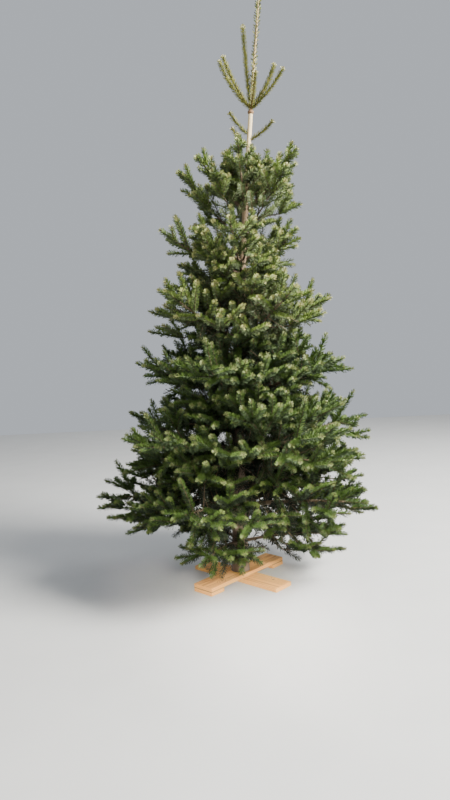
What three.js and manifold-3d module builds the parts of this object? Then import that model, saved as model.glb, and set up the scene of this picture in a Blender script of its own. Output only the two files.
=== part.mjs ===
// A cut fir tree, 3.72 m tall, standing on two crossed boards. Millimetres, +Z up.
// The origin is on the ground under the crossing, +X is to the right of the front, +Y is away from it.

import * as THREE from "three";
import { mergeVertices } from "three/addons/utils/BufferGeometryUtils.js";
import Module from "manifold-3d";

const wasm = await Module();
wasm.setup();

// Room between pieces that touch, and under the lowest needles
const GAP = 0.3;
const GROUND_CLEARANCE = 32;

// The stand: two planed boards crossed at right angles, with a block under each end of the upper one
const BOARD_LENGTH = 700;
const BOARD_WIDTH = 150;
const BOARD_THICKNESS = 25;
const BOARD_BEVEL = 1.5;
const BLOCK_LENGTH = 110;
const LOWER_BOARD_TURN = 137;
const UPPER_BOARD_TURN = 47;

// The trunk, from the flat cut on the boards to the topmost whorl, and the leader above it
const TRUNK_FOOT = 2 * BOARD_THICKNESS + 2 * GAP;
const TRUNK_TOP = 2930;
const LEADER_TOP = 3720;
const BUTT_RADIUS = 52;
const TOP_RADIUS = 13;
const TAPER_POWER = 1.3;
const FLARE_RADIUS = 9;
const FLARE_HEIGHT = 80;
const LEAN_AT_TOP = 285;
const LEAN_POWER = 1.665;
const SWAY = 12;
const TRUNK_SIDES = 12;
const TRUNK_STEPS = 14;
const TRUNK_CROWDING = 1.25;
const LEADER_RADIUS = 9.5;
const LEADER_TIP_RADIUS = 6;
const LEADER_STEPS = 5;

// Single needles stand off the leader in rings, from clear of the shoots up to just under the tip
const NEEDLE_LENGTH = 34;
const NEEDLE_ROWS = 6;
const NEEDLES_AROUND = 3;
const NEEDLE_TURN = 47;
const NEEDLE_TILT = [38, 52];
const NEEDLE_THICK = 3.2;
const NEEDLE_THIN = 0.6;
const NEEDLES_FROM = 130;
const NEEDLES_SHORT_OF_TIP = 20;

// The whorls below the topmost one. height: where its boughs leave the trunk. turn: azimuth of the
// first bough. reach: from the trunk's axis to the furthest tips. rise: how far the tips lie above
// the foot of the bough. bow: how far its middle lies above the straight line. skew: how much longer
// the left boughs are than the right ones. bare: share of the bough that is clear wood.
// limb: radius at the trunk. forks: pairs of side sprays.
const WHORLS = [
  { name: "2", height: 2334, count: 5, turn: 46, reach: 330, rise: 350, bow: -25, skew: -0.08,
    bare: 0, limb: 9, forks: 2 },
  { name: "3", height: 1945, count: 5, turn: 48, reach: 440, rise: 270, bow: -25, skew: 0.13,
    bare: 0, limb: 10, forks: 2 },
  { name: "4", height: 1540, count: 5, turn: 10, reach: 605, rise: 255, bow: -20, skew: 0.02,
    bare: 0, limb: 11, forks: 2 },
  { name: "5", height: 1185, count: 5, turn: 40, reach: 660, rise: 215, bow: -10, skew: -0.05,
    bare: 0.2, limb: 13, forks: 3 },
  { name: "6", height: 827, count: 5, turn: 8, reach: 800, rise: 150, bow: 5, skew: -0.07,
    bare: 0.2, limb: 15, forks: 3 },
  { name: "7", height: 469, count: 5, turn: 34, reach: 870, rise: 125, bow: 20, skew: -0.03,
    bare: 0.2, limb: 16, forks: 3 },
  { name: "8", height: 232, count: 3, turn: 5, reach: 560, rise: 10, bow: 30, skew: -0.2,
    bare: 0.24, limb: 11, forks: 2 },
];

// The topmost whorl: steep shoots round the foot of the leader
const TOP_SHOOTS = [
  { turn: 200, tilt: 30, length: 340 },
  { turn: 151, tilt: 31, length: 400 },
  { turn: 125, tilt: 5, length: 520 },
  { turn: 36, tilt: 33, length: 380 },
  { turn: -19, tilt: 46, length: 295 },
  { turn: -80, tilt: 45, length: 215 },
];
const TOP_SHOOT_WIDTH = 44;
const TOP_SHOOT_TEETH = 4;
const TOP_SHOOT_ROLL = 30;
const TOP_SHOOT_ROOT = 20;

// Single short shoots on the clear wood between the two upper whorls
const SIDE_SHOOTS = [
  { name: "side_shoot_left", height: 2798, turn: 174, tilt: 39, length: 180 },
  { name: "side_shoot_right", height: 2762, turn: -4, tilt: 54, length: 185 },
  { name: "side_shoot_low", height: 2720, turn: 210, tilt: 48, length: 150 },
];
const SIDE_SHOOT_WIDTH = 40;
const SIDE_SHOOT_TEETH = 3;
const SIDE_SHOOT_ROLL = 0.5;
const SHOOT_STALK = 0.08;

// How much boughs of one whorl differ, and how they taper. A share counts from trunk to tip.
const AZIMUTH_SPREAD = 4;
const REACH_SPREAD = [0.96, 1.03];
const RISE_SPREAD = 25;
const LIMB_TAPER = 0.78;
const LIMB_STEPS = 2;
const LIMB_SIDES = 6;
const STEM_SIDES = 3;
const STEM_END = 0.9;

// How side twigs leave their stem, and how long they are beside what is left of it
const FORK_ANGLE = 48;
const FORK_SPREAD = 7;
const FORK_TILT = 24;
const FORK_LIFTS = [-6, 16];
const FORK_LENGTH = 0.74;
const FORK_LEAST = 0.17;
const FORK_LENGTH_SPREAD = [0.9, 1.06];
const FORK_STAGGER = 0.018;
const FIRST_FORK = 0.27;
const LAST_FORK = 0.83;
const FORK_AFTER_BARE = 0.07;

// Smaller sprays that stand up and hang down at each fork, shorter towards the tip. Where the bough
// itself is steep they lie closer to it.
const STANDING = [
  { angle: 58, ahead: 0.055, least: 90, part: 0.36 },
  { angle: -52, ahead: -0.055, least: 80, part: 0.3 },
];
const STANDING_SPREAD = 8;
const STANDING_EASE = 0.8;
const STANDING_FADE = 0.5;
const STANDING_WIDTH = 0.6;
const STANDING_ROLL = 45;

// The spray at the end of each bough, as shares of its reach
const TIP_ROOT = 0.78;
const TIP_LENGTH = 0.28;
const TIP_WIDTH = 0.15;
const TIP_WIDTH_LEAST = 30;
const TIP_TEETH = 3;
const TIP_STALK = 0.05;
const TIP_ROLL = 30;

// Sprays of needles: blades with a deep tooth for each side shoot, thickest along their middle
const SPRAY_WIDTH = 0.54;
const SPRAY_THICKNESS = 0.34;
const SPRAY_STALK = 0.2;
const SPRAY_NOTCH = 0.3;
const SPRAY_ROLL = 60;
const SPRAY_ROOT = 1;
const STALK_HALF = 2;
const STALK_END_HALF = 3;
const STALK_WIDENING = 0.05;
const TOOTH_TIP = 0.98;
const TOOTH_ROOT = 0.7;
const TOOTH_FADE = 0.5;
const LONG_SPRAY = 0.42;
const LONG_SPRAY_TEETH = 3;
const SHORT_SPRAY_TEETH = 2;

// How far a mass may leave its own sector and its own layer of the crown
const SECTOR_SLACK = 5;
const LAYER_DEPTH = 300;
const NEAR_TRUNK = 130;
const PAST_TIP = 1.1;

const FAR_UP = new THREE.Vector3(0, 0, 1);
const radians = THREE.MathUtils.degToRad;

// Edges shorter than this are merged away after the pieces of a mass are joined
const SMALLEST_STEP = 0.05;

// Repeatable chance: the same seed always grows the same twigs
const CHANCE_STEP = 1664525;
const CHANCE_SHIFT = 1013904223;
const CHANCE_RANGE = 4294967296;
const SEED_SPREAD = 7919;
const WHORL_SEED = 100;
const TOP_SEED = 77;

function chance(seed) {
  let state = (seed * SEED_SPREAD) % CHANCE_RANGE;
  const draw = (low, high) => {
    state = (state * CHANCE_STEP + CHANCE_SHIFT) % CHANCE_RANGE;
    return low + ((high - low) * state) / CHANCE_RANGE;
  };
  draw(0, 1);
  draw(0, 1);
  return draw;
}

// Solids from geometry, and meshes from solids
function solidOf(geometry) {
  const plain = geometry.clone();
  plain.deleteAttribute("normal");
  plain.deleteAttribute("uv");
  const merged = mergeVertices(plain, 1e-4);
  return new wasm.Manifold(
    new wasm.Mesh({
      numProp: 3,
      vertProperties: merged.attributes.position.array,
      triVerts: new Uint32Array(merged.index.array),
    }),
  );
}

function meshOf(solid, name, material) {
  const data = solid.getMesh();
  const geometry = new THREE.BufferGeometry();
  geometry.setAttribute("position", new THREE.BufferAttribute(new Float32Array(data.vertProperties), 3));
  geometry.setIndex(new THREE.BufferAttribute(new Uint32Array(data.triVerts), 1));
  geometry.computeVertexNormals();
  const mesh = new THREE.Mesh(geometry, material);
  mesh.name = name;
  return mesh;
}

// One closed body: loose scraps go and sealed hollows are filled
function largestBody(solid) {
  return solid.decompose().reduce((best, body) => (body.volume() > best.volume() ? body : best));
}

// A closed body through rings of points, with flat ends
function loft(rings) {
  const sides = rings[0].length;
  const last = rings.length - 1;
  const faces = [];
  for (let side = 0; side < sides; side++) {
    const next = (side + 1) % sides;
    for (let ring = 0; ring < last; ring++) {
      const a = ring * sides + side;
      const b = ring * sides + next;
      faces.push(a, b, b + sides, a, b + sides, a + sides);
    }
  }
  const tip = last * sides;
  for (let side = 1; side < sides - 1; side++) {
    faces.push(0, side + 1, side);
    faces.push(tip, tip + side, tip + side + 1);
  }
  const geometry = new THREE.BufferGeometry().setFromPoints(rings.flat());
  geometry.setIndex(faces);
  return geometry;
}

// Two directions square to a run: one level, one as upright as the run allows
function across(run) {
  const level = new THREE.Vector3().crossVectors(FAR_UP, run).normalize();
  const upright = new THREE.Vector3().crossVectors(run, level).normalize();
  return [level, upright];
}

function ringAt(centre, radius, sides, first, second) {
  return Array.from({ length: sides }, (_, side) => {
    const angle = (2 * Math.PI * side) / sides;
    return centre
      .clone()
      .addScaledVector(first, radius * Math.cos(angle))
      .addScaledVector(second, radius * Math.sin(angle));
  });
}

// A round limb that tapers along its stations, each end square to its run
function limb(stations, sides) {
  const rings = stations.map(({ point, run, radius }) => ringAt(point, radius, sides, ...across(run)));
  return solidOf(loft(rings));
}

function twig(from, to, thick, thin) {
  const run = new THREE.Vector3().subVectors(to, from).normalize();
  return limb([{ point: from, run, radius: thick }, { point: to, run, radius: thin }], 3);
}

// A spray of needles: a stalk and a toothed outline, with a ridge on both faces
function spray(root, run, { length, width, teeth, stalk = SPRAY_STALK, roll }) {
  const [level, upright] = across(run);
  const wide = level.clone().applyAxisAngle(run, roll);
  const thick = upright.clone().applyAxisAngle(run, roll);
  const start = -SPRAY_ROOT;
  const pitch = ((1 - stalk) * length) / (teeth + 0.5);
  const half = [[start, STALK_HALF], [stalk * length, STALK_WIDENING * width + STALK_END_HALF]];
  for (let tooth = 0; tooth < teeth; tooth++) {
    const reach = 0.5 * width * (1 - TOOTH_FADE * (tooth / teeth) ** 2);
    half.push([stalk * length + pitch * (tooth + TOOTH_TIP), reach]);
    half.push([stalk * length + pitch * (tooth + TOOTH_ROOT), SPRAY_NOTCH * reach]);
  }
  half.pop();
  const outline = [...half, [length, 0], ...half.map(([x, y]) => [x, -y]).reverse()];
  const at = (x, y, z) =>
    root.clone().addScaledVector(run, x).addScaledVector(wide, y).addScaledVector(thick, z);
  const points = outline.map(([x, y]) => at(x, y, 0));
  const middle = 0.5 * length;
  const rise = (SPRAY_THICKNESS * width) / 2;
  const top = points.push(at(middle, 0, rise)) - 1;
  const bottom = points.push(at(middle, 0, -rise)) - 1;
  const faces = [];
  outline.forEach((_, i) => {
    const next = (i + 1) % outline.length;
    faces.push(next, i, top);
    faces.push(i, next, bottom);
  });
  const geometry = new THREE.BufferGeometry().setFromPoints(points);
  geometry.setIndex(faces);
  return solidOf(geometry);
}

// The trunk's axis leans to the right, more so towards the leader
function trunkAxis(height) {
  const share = height / LEADER_TOP;
  return new THREE.Vector3(
    LEAN_AT_TOP * share ** LEAN_POWER,
    SWAY * Math.sin(2 * Math.PI * share),
    height,
  );
}

function trunkRadius(height) {
  const share = (height - TRUNK_FOOT) / (TRUNK_TOP - TRUNK_FOOT);
  const flare = FLARE_RADIUS * Math.exp(-(height - TRUNK_FOOT) / FLARE_HEIGHT);
  return TOP_RADIUS + (BUTT_RADIUS - TOP_RADIUS) * (1 - share) ** TAPER_POWER + flare;
}

function trunkSolid(extra) {
  const east = new THREE.Vector3(1, 0, 0);
  const north = new THREE.Vector3(0, 1, 0);
  const rings = Array.from({ length: TRUNK_STEPS + 1 }, (_, step) => {
    const share = (step / TRUNK_STEPS) ** TRUNK_CROWDING;
    const height = TRUNK_FOOT + (TRUNK_TOP - TRUNK_FOOT) * share;
    return ringAt(trunkAxis(height), trunkRadius(height) + extra, TRUNK_SIDES, east, north);
  });
  return solidOf(loft(rings));
}

// The boughs of every whorl, each with its own seed and its own curve
function listBoughs() {
  return WHORLS.flatMap((whorl, w) =>
    Array.from({ length: whorl.count }, (_, k) => {
      const draw = chance(WHORL_SEED * (w + 2) + k + 1);
      const sector = 360 / whorl.count;
      const azimuth = radians(whorl.turn + k * sector + draw(-AZIMUTH_SPREAD, AZIMUTH_SPREAD));
      const reach = whorl.reach * (1 - whorl.skew * Math.cos(azimuth)) * draw(...REACH_SPREAD);
      const rise = whorl.rise + draw(-RISE_SPREAD, RISE_SPREAD);
      return { whorl, azimuth, reach, rise, draw, sector, name: `${whorl.name}_${k + 1}` };
    }),
  );
}

function pointOn(bough, share) {
  const { whorl, azimuth, reach, rise } = bough;
  const lift = rise * share + 4 * whorl.bow * share * (1 - share);
  return trunkAxis(whorl.height).add(
    new THREE.Vector3(reach * share * Math.cos(azimuth), reach * share * Math.sin(azimuth), lift),
  );
}

function runOn(bough, share) {
  const small = 0.01;
  return pointOn(bough, share + small).sub(pointOn(bough, share - small)).normalize();
}

function limbRadius(bough, share) {
  return bough.whorl.limb * (1 - LIMB_TAPER * share);
}

function boughLimb(bough, from, to, steps, sides, extra) {
  const stations = Array.from({ length: steps + 1 }, (_, i) => {
    const share = from + ((to - from) * i) / steps;
    const radius = limbRadius(bough, share) + extra;
    return { point: pointOn(bough, share), run: runOn(bough, share), radius };
  });
  return limb(stations, sides);
}

// The room that a piece must keep out of, and the test for it
function boxesMeet(a, b) {
  return [0, 1, 2].every((i) => a.min[i] <= b.max[i] && b.min[i] <= a.max[i]);
}

function keepOut(solid) {
  return { solid, box: solid.boundingBox() };
}

function isBlocked(solid, taken) {
  const box = solid.boundingBox();
  if (box.min[2] < GROUND_CLEARANCE) return true;
  return taken.some((other) => boxesMeet(box, other.box) && !solid.intersect(other.solid).isEmpty());
}

function leavesSpace(bough, point) {
  const axis = trunkAxis(point.z);
  const out = new THREE.Vector2(point.x - axis.x, point.y - axis.y);
  const distance = out.length();
  if (distance < NEAR_TRUNK) return false;
  const turn = Math.atan2(out.y, out.x) - bough.azimuth;
  const away = Math.abs(Math.atan2(Math.sin(turn), Math.cos(turn)));
  const share = Math.min(distance / bough.reach, PAST_TIP);
  const layer = pointOn(bough, share).z;
  return away > radians(bough.sector / 2 + SECTOR_SLACK) || Math.abs(point.z - layer) > LAYER_DEPTH;
}

// One mass of foliage: a stem along its bough, paired sprays that shorten towards its tip,
// and smaller sprays that stand up from the forks.
function growMass(bough, taken) {
  const { whorl, draw, reach } = bough;
  const from = whorl.bare ? whorl.bare + (2 * GAP) / reach : 0;
  const pieces = [boughLimb(bough, from, STEM_END, LIMB_STEPS, STEM_SIDES, 0)];
  const add = (root, run, sizes) => {
    const piece = spray(root, run, sizes);
    const tip = root.clone().addScaledVector(run, sizes.length);
    if (!leavesSpace(bough, tip) && !isBlocked(piece, taken)) pieces.push(piece);
  };

  const firstFork = Math.max(whorl.bare + FORK_AFTER_BARE, FIRST_FORK);
  for (let fork = 0; fork < whorl.forks; fork++) {
    const share = firstFork + ((LAST_FORK - firstFork) * fork) / (whorl.forks - 0.5);
    const run = runOn(bough, share);
    const [level, upright] = across(run);
    for (const side of [-1, 1]) {
      const root = pointOn(bough, share + side * FORK_STAGGER);
      const angle = radians(FORK_ANGLE + draw(-FORK_SPREAD, FORK_SPREAD));
      const tilt = radians(FORK_LIFTS[fork % 2] + draw(-FORK_TILT, FORK_TILT));
      const length = reach * (FORK_LENGTH * (1 - share) + FORK_LEAST) * draw(...FORK_LENGTH_SPREAD);
      const way = run.clone().multiplyScalar(Math.cos(angle))
        .addScaledVector(level, side * Math.sin(angle) * Math.cos(tilt))
        .addScaledVector(upright, Math.sin(angle) * Math.sin(tilt));
      const roll = radians(draw(-SPRAY_ROLL, SPRAY_ROLL));
      const teeth = length > LONG_SPRAY * reach ? LONG_SPRAY_TEETH : SHORT_SPRAY_TEETH;
      add(root, way, { length, width: SPRAY_WIDTH * length, teeth, roll });
    }
    for (const stand of STANDING) {
      const spread = draw(-STANDING_SPREAD, STANDING_SPREAD);
      const lift = radians(stand.angle * (1 - STANDING_EASE * run.z) + spread);
      const way = run.clone().multiplyScalar(Math.cos(lift)).addScaledVector(upright, Math.sin(lift));
      const length = (stand.least + stand.part * reach) * (1 - (STANDING_FADE * fork) / whorl.forks);
      const root = pointOn(bough, share + stand.ahead);
      const roll = radians(draw(-STANDING_ROLL, STANDING_ROLL));
      add(root, way, { length, width: STANDING_WIDTH * length, teeth: SHORT_SPRAY_TEETH, roll });
    }
  }
  add(pointOn(bough, TIP_ROOT), runOn(bough, STEM_END), {
    length: TIP_LENGTH * reach,
    width: TIP_WIDTH * reach + TIP_WIDTH_LEAST,
    teeth: TIP_TEETH,
    stalk: TIP_STALK,
    roll: radians(draw(-TIP_ROLL, TIP_ROLL)),
  });
  return wasm.Manifold.union(pieces);
}

function directionOf({ turn, tilt }) {
  const lean = Math.sin(radians(tilt));
  return new THREE.Vector3(
    lean * Math.cos(radians(turn)),
    lean * Math.sin(radians(turn)),
    Math.cos(radians(tilt)),
  );
}

// A single shoot: one slim spray with its needles all the way along
function shoot(root, run, length, width, teeth, roll) {
  return spray(root, run, { length, width, teeth, stalk: SHOOT_STALK, roll });
}

// The top of the crown: the leader with its needles, and the shoots round its foot
function growTop() {
  const draw = chance(TOP_SEED);
  const foot = TRUNK_TOP + 4 * GAP;
  const stations = Array.from({ length: LEADER_STEPS + 1 }, (_, i) => {
    const share = i / LEADER_STEPS;
    const height = foot + (LEADER_TOP - foot) * share;
    const run = trunkAxis(height + 1).sub(trunkAxis(height)).normalize();
    const radius = LEADER_RADIUS + (LEADER_TIP_RADIUS - LEADER_RADIUS) * share;
    return { point: trunkAxis(height), run, radius };
  });
  const pieces = [limb(stations, LIMB_SIDES)];
  const root = trunkAxis(foot + TOP_SHOOT_ROOT);
  for (const one of TOP_SHOOTS) {
    const roll = radians(draw(-TOP_SHOOT_ROLL, TOP_SHOOT_ROLL));
    pieces.push(shoot(root, directionOf(one), one.length, TOP_SHOOT_WIDTH, TOP_SHOOT_TEETH, roll));
  }
  const first = foot + NEEDLES_FROM;
  const last = LEADER_TOP - NEEDLES_SHORT_OF_TIP;
  for (let row = 0; row < NEEDLE_ROWS; row++) {
    const start = trunkAxis(first + ((last - first) * row) / (NEEDLE_ROWS - 1));
    for (let around = 0; around < NEEDLES_AROUND; around++) {
      const turn = (360 / NEEDLES_AROUND) * around + NEEDLE_TURN * row;
      const run = directionOf({ turn, tilt: draw(...NEEDLE_TILT) });
      const end = start.clone().addScaledVector(run, NEEDLE_LENGTH);
      pieces.push(twig(start, end, NEEDLE_THICK, NEEDLE_THIN));
    }
  }
  return wasm.Manifold.union(pieces);
}

function growSideShoot(one, clearOfTrunk) {
  const run = directionOf(one);
  const piece = shoot(
    trunkAxis(one.height), run, one.length, SIDE_SHOOT_WIDTH, SIDE_SHOOT_TEETH, SIDE_SHOOT_ROLL,
  );
  return piece.subtract(clearOfTrunk);
}

// The stand
function board(length, bottom, turn, along) {
  const half = BOARD_WIDTH / 2 - BOARD_BEVEL;
  const deep = BOARD_THICKNESS / 2 - BOARD_BEVEL;
  const section = new THREE.Shape();
  const corners = [[-half, -deep - BOARD_BEVEL], [half, -deep - BOARD_BEVEL], [half + BOARD_BEVEL, -deep],
    [half + BOARD_BEVEL, deep], [half, deep + BOARD_BEVEL], [-half, deep + BOARD_BEVEL],
    [-half - BOARD_BEVEL, deep], [-half - BOARD_BEVEL, -deep]];
  section.setFromPoints(corners.map(([x, y]) => new THREE.Vector2(x, y)));
  const geometry = new THREE.ExtrudeGeometry(section, { depth: length, bevelEnabled: false });
  geometry.rotateX(Math.PI / 2);
  geometry.rotateZ(-Math.PI / 2);
  geometry.translate(along + length / 2, 0, bottom + BOARD_THICKNESS / 2);
  geometry.rotateZ(radians(turn));
  return solidOf(geometry);
}

const STAND = [
  { name: "stand_lower_board", length: BOARD_LENGTH, bottom: 0, turn: LOWER_BOARD_TURN, along: 0 },
  { name: "stand_upper_board", length: BOARD_LENGTH, bottom: BOARD_THICKNESS + GAP,
    turn: UPPER_BOARD_TURN, along: 0 },
  { name: "stand_block_near", length: BLOCK_LENGTH, bottom: 0, turn: UPPER_BOARD_TURN,
    along: -(BOARD_LENGTH - BLOCK_LENGTH) / 2 },
  { name: "stand_block_far", length: BLOCK_LENGTH, bottom: 0, turn: UPPER_BOARD_TURN,
    along: (BOARD_LENGTH - BLOCK_LENGTH) / 2 },
];

const finish = (color, roughness) => new THREE.MeshStandardMaterial({ color, roughness, metalness: 0 });
const WOOD = finish(0xd9a566, 0.75);
const BARK = finish(0x7a6048, 0.9);
const GREENS = [0x44602f, 0x36542a, 0x2f4b27, 0x3c5c2b].map((color) => finish(color, 0.8));

const tree = new THREE.Group();

const stand = new THREE.Group();
const standSolids = STAND.map((one) => board(one.length, one.bottom, one.turn, one.along));
STAND.forEach((one, i) => stand.add(meshOf(standSolids[i], one.name, WOOD)));
tree.add(stand);

const wood = new THREE.Group();
wood.add(meshOf(trunkSolid(0), "trunk", BARK));
const clearOfTrunk = trunkSolid(2 * GAP);
const boughs = listBoughs();
const taken = [...standSolids, clearOfTrunk].map(keepOut);
for (const bough of boughs.filter((one) => one.whorl.bare)) {
  const clearWood = (extra) => boughLimb(bough, 0, bough.whorl.bare, LIMB_STEPS, LIMB_SIDES, extra);
  wood.add(meshOf(largestBody(clearWood(0).subtract(clearOfTrunk)), `bough_${bough.name}`, BARK));
  taken.push(keepOut(clearWood(GAP)));
}
tree.add(wood);

const crown = new THREE.Group();
const addMass = (solid, name, green) => {
  const body = largestBody(solid).simplify(SMALLEST_STEP);
  crown.add(meshOf(body, name, GREENS[green % GREENS.length]));
  taken.push(keepOut(body));
};
addMass(growTop(), "foliage_top", 0);
for (const one of SIDE_SHOOTS) addMass(growSideShoot(one, clearOfTrunk), one.name, 0);
boughs.forEach((bough, i) => {
  addMass(growMass(bough, taken).subtract(clearOfTrunk), `foliage_${bough.name}`, i);
});
tree.add(crown);

export default tree;
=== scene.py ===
# %% [markdown]
# # A cut fir on two crossed boards
# This lesson dresses a bare construction model of a cut fir with bark, twigs and needles.
# The construction model is in metres, with the ground at z = 0 and the tree leaning a little to the right.
# Everything that is made here stays in that frame, so nothing has to be fitted afterwards.

from functools import partialmethod
from math import atan2, cos, exp, hypot, pi, radians, sin
from types import SimpleNamespace

import bpy
import numpy as np
from mathutils import Matrix, Vector, noise


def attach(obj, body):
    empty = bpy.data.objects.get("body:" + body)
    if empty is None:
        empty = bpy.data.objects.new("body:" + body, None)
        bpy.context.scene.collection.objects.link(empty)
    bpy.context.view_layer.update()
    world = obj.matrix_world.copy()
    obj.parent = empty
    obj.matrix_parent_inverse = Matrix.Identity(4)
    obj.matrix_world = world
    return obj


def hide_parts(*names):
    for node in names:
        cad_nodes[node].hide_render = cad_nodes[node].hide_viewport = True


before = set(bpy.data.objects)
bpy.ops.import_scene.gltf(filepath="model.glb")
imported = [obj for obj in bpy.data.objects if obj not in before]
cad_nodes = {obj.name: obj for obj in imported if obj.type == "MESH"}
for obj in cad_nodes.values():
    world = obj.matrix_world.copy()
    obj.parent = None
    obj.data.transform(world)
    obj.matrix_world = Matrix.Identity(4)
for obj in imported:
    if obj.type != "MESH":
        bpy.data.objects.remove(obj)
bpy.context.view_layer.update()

# %% [markdown]
# ## The camera
# The tree was seen from a little under four metres away, at eye height, with the camera tipped down by
# four degrees and turned a little on its own axis. A wide lens explains why the boards look so steep.
# The camera's three directions are built by hand, because a tilt and a roll are easier to read that way
# than as three angles.

# %% Place the camera
CAMERA_PLACE = Vector((-0.05, -3.83, 1.43))
CAMERA_PITCH = radians(4.0)
CAMERA_ROLL = radians(2.7)
CAMERA_LENS = 27.0
UP = Vector((0, 0, 1))


def camera_matrix(place, pitch, roll):
    forward = Vector((0, cos(pitch), -sin(pitch)))
    upright = Vector((0, sin(pitch), cos(pitch)))
    side = Vector((1, 0, 0))
    right = side * cos(roll) - upright * sin(roll)
    top = side * sin(roll) + upright * cos(roll)
    matrix = Matrix((right, top, -forward)).transposed().to_4x4()
    matrix.translation = place
    return matrix


def add_object(name, data):
    made = bpy.data.objects.new(name, data)
    bpy.context.scene.collection.objects.link(made)
    return made


camera = add_object("camera", bpy.data.cameras.new("camera"))
camera.data.lens = CAMERA_LENS
camera.matrix_world = camera_matrix(CAMERA_PLACE, CAMERA_PITCH, CAMERA_ROLL)
bpy.context.scene.camera = camera
print("camera at", tuple(CAMERA_PLACE))

# %% [markdown]
# ## Two helpers for nodes
# Shaders and Geometry Nodes are both trees of nodes. `Graph.add` makes any node from its type, its settings
# and the values or links of its sockets. `Wire` wraps one socket, so that sums on sockets are written as
# sums in Python: numbers become Math nodes, and vectors and colours become Vector Math nodes.


# %% Nodes as expressions
class Wire:
    def __init__(self, graph, socket):
        self.graph = graph
        self.socket = socket

    @property
    def is_vector(self):
        return self.socket.type in ("VECTOR", "RGBA")

    def maths(self, operation, other, swapped=False):
        vector = self.is_vector or (isinstance(other, Wire) and other.is_vector)
        if vector and isinstance(other, (int, float)):
            other = (other, other, other)
        first, second = (other, self) if swapped else (self, other)
        kind = "ShaderNodeVectorMath" if vector else "ShaderNodeMath"
        return self.graph.add(kind, {"operation": operation}, {0: first, 1: second})

    __add__ = partialmethod(maths, "ADD")
    __radd__ = partialmethod(maths, "ADD", swapped=True)
    __sub__ = partialmethod(maths, "SUBTRACT")
    __rsub__ = partialmethod(maths, "SUBTRACT", swapped=True)
    __mul__ = partialmethod(maths, "MULTIPLY")
    __rmul__ = partialmethod(maths, "MULTIPLY", swapped=True)
    __pow__ = partialmethod(maths, "POWER")
    __lt__ = partialmethod(maths, "LESS_THAN")
    __gt__ = partialmethod(maths, "GREATER_THAN")


class Graph:
    def __init__(self, tree):
        self.tree = tree

    def add(self, kind, settings=None, values=None, output=None):
        node = self.tree.nodes.new(kind)
        for name, value in (settings or {}).items():
            setattr(node, name, value)
        for key, value in (values or {}).items():
            self.feed(node.inputs[key], value)
        if output is None:
            return Wire(self, next(socket for socket in node.outputs if socket.enabled))
        return Wire(self, node.outputs[output])

    def feed(self, socket, value):
        if isinstance(value, Wire):
            self.tree.links.new(value.socket, socket)
        elif socket.type == "RGBA" and len(value) == 3:
            socket.default_value = (*value, 1)
        else:
            socket.default_value = value

    def apply(self, operation, *values):
        return self.add("ShaderNodeMath", {"operation": operation}, dict(enumerate(values)))

    def apply_vector(self, operation, *values):
        return self.add("ShaderNodeVectorMath", {"operation": operation}, dict(enumerate(values)))

    def object_place(self):
        return self.add("ShaderNodeTexCoord", None, None, "Object")

    def noise(self, coordinates, scale, detail=2.0, roughness=0.5):
        values = {"Vector": coordinates, "Scale": scale, "Detail": detail, "Roughness": roughness}
        return self.add("ShaderNodeTexNoise", None, values)

    def mottle(self, scale, detail=3.0):
        return self.noise(self.object_place(), scale, detail, roughness=0.6)

    def height_of(self, vector):
        return self.add("ShaderNodeSeparateXYZ", None, {0: vector}, "Z")

    def blend(self, share, first, second):
        return self.add("ShaderNodeMix", {"data_type": "RGBA"}, {0: share, 6: first, 7: second}, 2)

    def smooth(self, value, low, high, start=0.0, end=1.0):
        settings = {"interpolation_type": "SMOOTHSTEP"}
        return self.add("ShaderNodeMapRange", settings, {0: value, 1: low, 2: high, 3: start, 4: end})


def new_material(name):
    material = bpy.data.materials.new(name)
    material.use_nodes = True
    material.node_tree.nodes.clear()
    return material, Graph(material.node_tree)


def finish_material(graph, **sockets):
    shader = graph.tree.nodes.new("ShaderNodeBsdfPrincipled")
    for name, value in sockets.items():
        graph.feed(shader.inputs[name.replace("_", " ")], value)
    output = graph.tree.nodes.new("ShaderNodeOutputMaterial")
    graph.tree.links.new(shader.outputs[0], output.inputs[0])


# %% [markdown]
# ## The light and the floor
# The tree stood outdoors under a bright overcast sky, which lights the tips and leaves the inside of the
# crown dark. A large soft lamp from the upper right and a pale world give the same light. Weaker lamps lift
# the left side and the back, a narrow one brightens the boards, and a pale floor takes the shadow.

# %% Light, world and floor
# Each lamp has its place, the point that it faces, its size, power and colour, and its spread in degrees
LAMPS = {
    "sky_right": ((4.4, -2.4, 5.8), (0.1, 0, 1.5), 2.6, 2150, (1.0, 0.98, 0.92), 180),
    "sky_left": ((-4.5, -3.5, 4.2), (0, 0, 1.6), 3.0, 50, (0.94, 0.97, 1.0), 180),
    "sky_back": ((5.5, 3.2, 4.5), (0, 0, 1.6), 2.6, 220, (0.94, 0.97, 1.0), 180),
    "low_front": ((0.8, -4.1, 2.2), (0.05, -0.42, 0.02), 0.6, 7.5, (1.0, 0.95, 0.85), 20),
}
WORLD_COLOUR = (0.80, 0.85, 0.92)
WORLD_STRENGTH = 0.62
FLOOR_HALF = 9.0
FLOOR_DEPTH = 0.05
FLOOR_TONES = ((0.52, 0.52, 0.51), (0.58, 0.58, 0.57))


def add_mesh(name, points, faces, material=None, smooth=False):
    mesh = bpy.data.meshes.new(name)
    mesh.from_pydata([tuple(p) for p in points], [], faces)
    if smooth:
        mesh.shade_smooth()
    if material:
        mesh.materials.append(material)
    return add_object(name, mesh)


def add_lamp(name, place, target, size, power, colour, spread):
    lamp = bpy.data.lights.new(name, "AREA")
    lamp.spread = radians(spread)
    lamp.size = size
    lamp.energy = power
    lamp.color = colour
    made = add_object(name, lamp)
    made.location = place
    made.rotation_euler = (Vector(target) - Vector(place)).to_track_quat("-Z", "Y").to_euler()


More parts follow.
